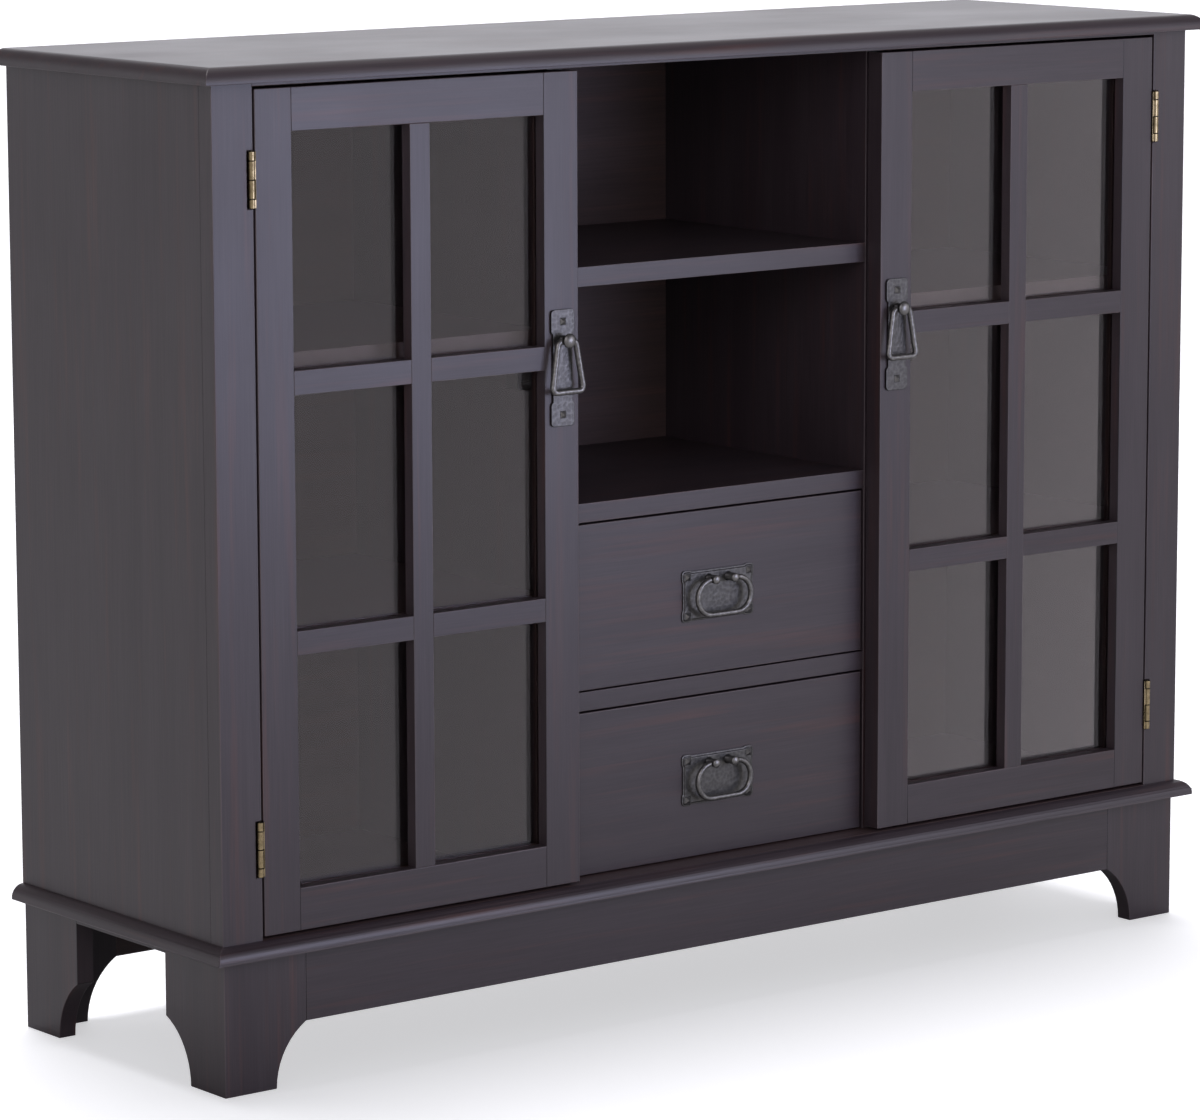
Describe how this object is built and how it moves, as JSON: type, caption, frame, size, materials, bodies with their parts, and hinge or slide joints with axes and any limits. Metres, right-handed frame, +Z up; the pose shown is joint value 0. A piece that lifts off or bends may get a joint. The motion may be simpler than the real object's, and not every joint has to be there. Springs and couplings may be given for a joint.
{
  "type": "china cabinet",
  "caption": "Low china cabinet with glazed side doors, an open centre bay with a shelf, drawers below, bail pulls and bracket feet.",
  "frame": {"origin": "on the floor at the centre of the cabinet's overall footprint, pulls included", "axes": "+Z up, front towards -Y, +X to the right seen from the front"},
  "size_m": [1.201, 0.3496, 0.92],
  "materials": {
    "stained_wood": "espresso stain under satin lacquer, fine straight grain",
    "inner_wood": "dark stained inner wood, low sheen",
    "dark_iron": "hammered dark iron with rubbed edges",
    "antique_brass": "antique brass, brushed, darkened in the recesses",
    "clear_glass": "clear float glass",
    "black_plastic": "matt black moulded plastic",
    "plated_steel": "zinc plated steel"
  },
  "bodies": {
    "cabinet": {"top_board": "stained_wood", "top_strip": "stained_wood", "left_side_panel": "stained_wood", "right_side_panel": "stained_wood", "front_posts": "stained_wood", "partitions": "stained_wood", "bottom_panel": "stained_wood", "back_panel": "inner_wood", "base_moulding": "stained_wood", "front_apron": "stained_wood", "back_apron": "stained_wood", "side_rails": "stained_wood", "bracket_feet": "stained_wood", "centre_shelf": "stained_wood", "drawer_deck": "stained_wood", "drawer_divider_rail": "stained_wood", "drawer_runners": "inner_wood", "adjustable_shelves": "stained_wood", "shelf_pins": "antique_brass", "door_catches": "black_plastic", "hinge_post_leaves": "antique_brass", "hinge_pins": "antique_brass"},
    "left_door": {"left_door_stiles": "stained_wood", "left_door_rails": "stained_wood", "left_door_muntins": "stained_wood", "left_door_glass": "clear_glass", "left_door_glass_beads": "inner_wood", "left_door_strike_plate": "plated_steel", "left_door_hinge_leaves": "antique_brass", "left_door_pull_plate": "dark_iron", "left_door_pull_nails": "dark_iron", "left_door_pull_post": "dark_iron"},
    "left_door_bail": {"left_door_pull_bail": "dark_iron"},
    "right_door": {"right_door_stiles": "stained_wood", "right_door_rails": "stained_wood", "right_door_muntins": "stained_wood", "right_door_glass": "clear_glass", "right_door_glass_beads": "inner_wood", "right_door_strike_plate": "plated_steel", "right_door_hinge_leaves": "antique_brass", "right_door_pull_plate": "dark_iron", "right_door_pull_nails": "dark_iron", "right_door_pull_post": "dark_iron"},
    "right_door_bail": {"right_door_pull_bail": "dark_iron"},
    "upper_drawer": {"upper_drawer_front": "stained_wood", "upper_drawer_sides": "inner_wood", "upper_drawer_back": "inner_wood", "upper_drawer_bottom": "inner_wood", "upper_drawer_pull_plate": "dark_iron", "upper_drawer_pull_nails": "dark_iron", "upper_drawer_pull_posts": "dark_iron"},
    "upper_drawer_ring": {"upper_drawer_pull_ring": "dark_iron"},
    "lower_drawer": {"lower_drawer_front": "stained_wood", "lower_drawer_sides": "inner_wood", "lower_drawer_back": "inner_wood", "lower_drawer_bottom": "inner_wood", "lower_drawer_pull_plate": "dark_iron", "lower_drawer_pull_nails": "dark_iron", "lower_drawer_pull_posts": "dark_iron"},
    "lower_drawer_ring": {"lower_drawer_pull_ring": "dark_iron"}
  },
  "joints": [
    {"name": "left_door_hinge", "type": "hinge", "parent": "cabinet", "child": "left_door", "pos_m": [-0.545, -0.15975, 0.5], "axis": [0, 0, -1], "range_deg": [0, 110]},
    {"name": "right_door_hinge", "type": "hinge", "parent": "cabinet", "child": "right_door", "pos_m": [0.545, -0.15975, 0.5], "axis": [0, 0, 1], "range_deg": [0, 110]},
    {"name": "upper_drawer_slide", "type": "slide", "parent": "cabinet", "child": "upper_drawer", "axis": [0, -1, 0], "range_m": [0, 0.2]},
    {"name": "lower_drawer_slide", "type": "slide", "parent": "cabinet", "child": "lower_drawer", "axis": [0, -1, 0], "range_m": [0, 0.2]},
    {"name": "left_bail_swing", "type": "hinge", "parent": "left_door", "child": "left_door_bail", "pos_m": [-0.2035, -0.16725, 0.6535], "axis": [-1, 0, 0], "range_deg": [0, 95]},
    {"name": "right_bail_swing", "type": "hinge", "parent": "right_door", "child": "right_door_bail", "pos_m": [0.2035, -0.16725, 0.6535], "axis": [-1, 0, 0], "range_deg": [0, 95]},
    {"name": "upper_ring_swing", "type": "hinge", "parent": "upper_drawer", "child": "upper_drawer_ring", "pos_m": [0, -0.14745, 0.4088], "axis": [-1, 0, 0], "range_deg": [0, 95]},
    {"name": "lower_ring_swing", "type": "hinge", "parent": "lower_drawer", "child": "lower_drawer_ring", "pos_m": [0, -0.14745, 0.2313], "axis": [-1, 0, 0], "range_deg": [0, 95]}
  ]
}
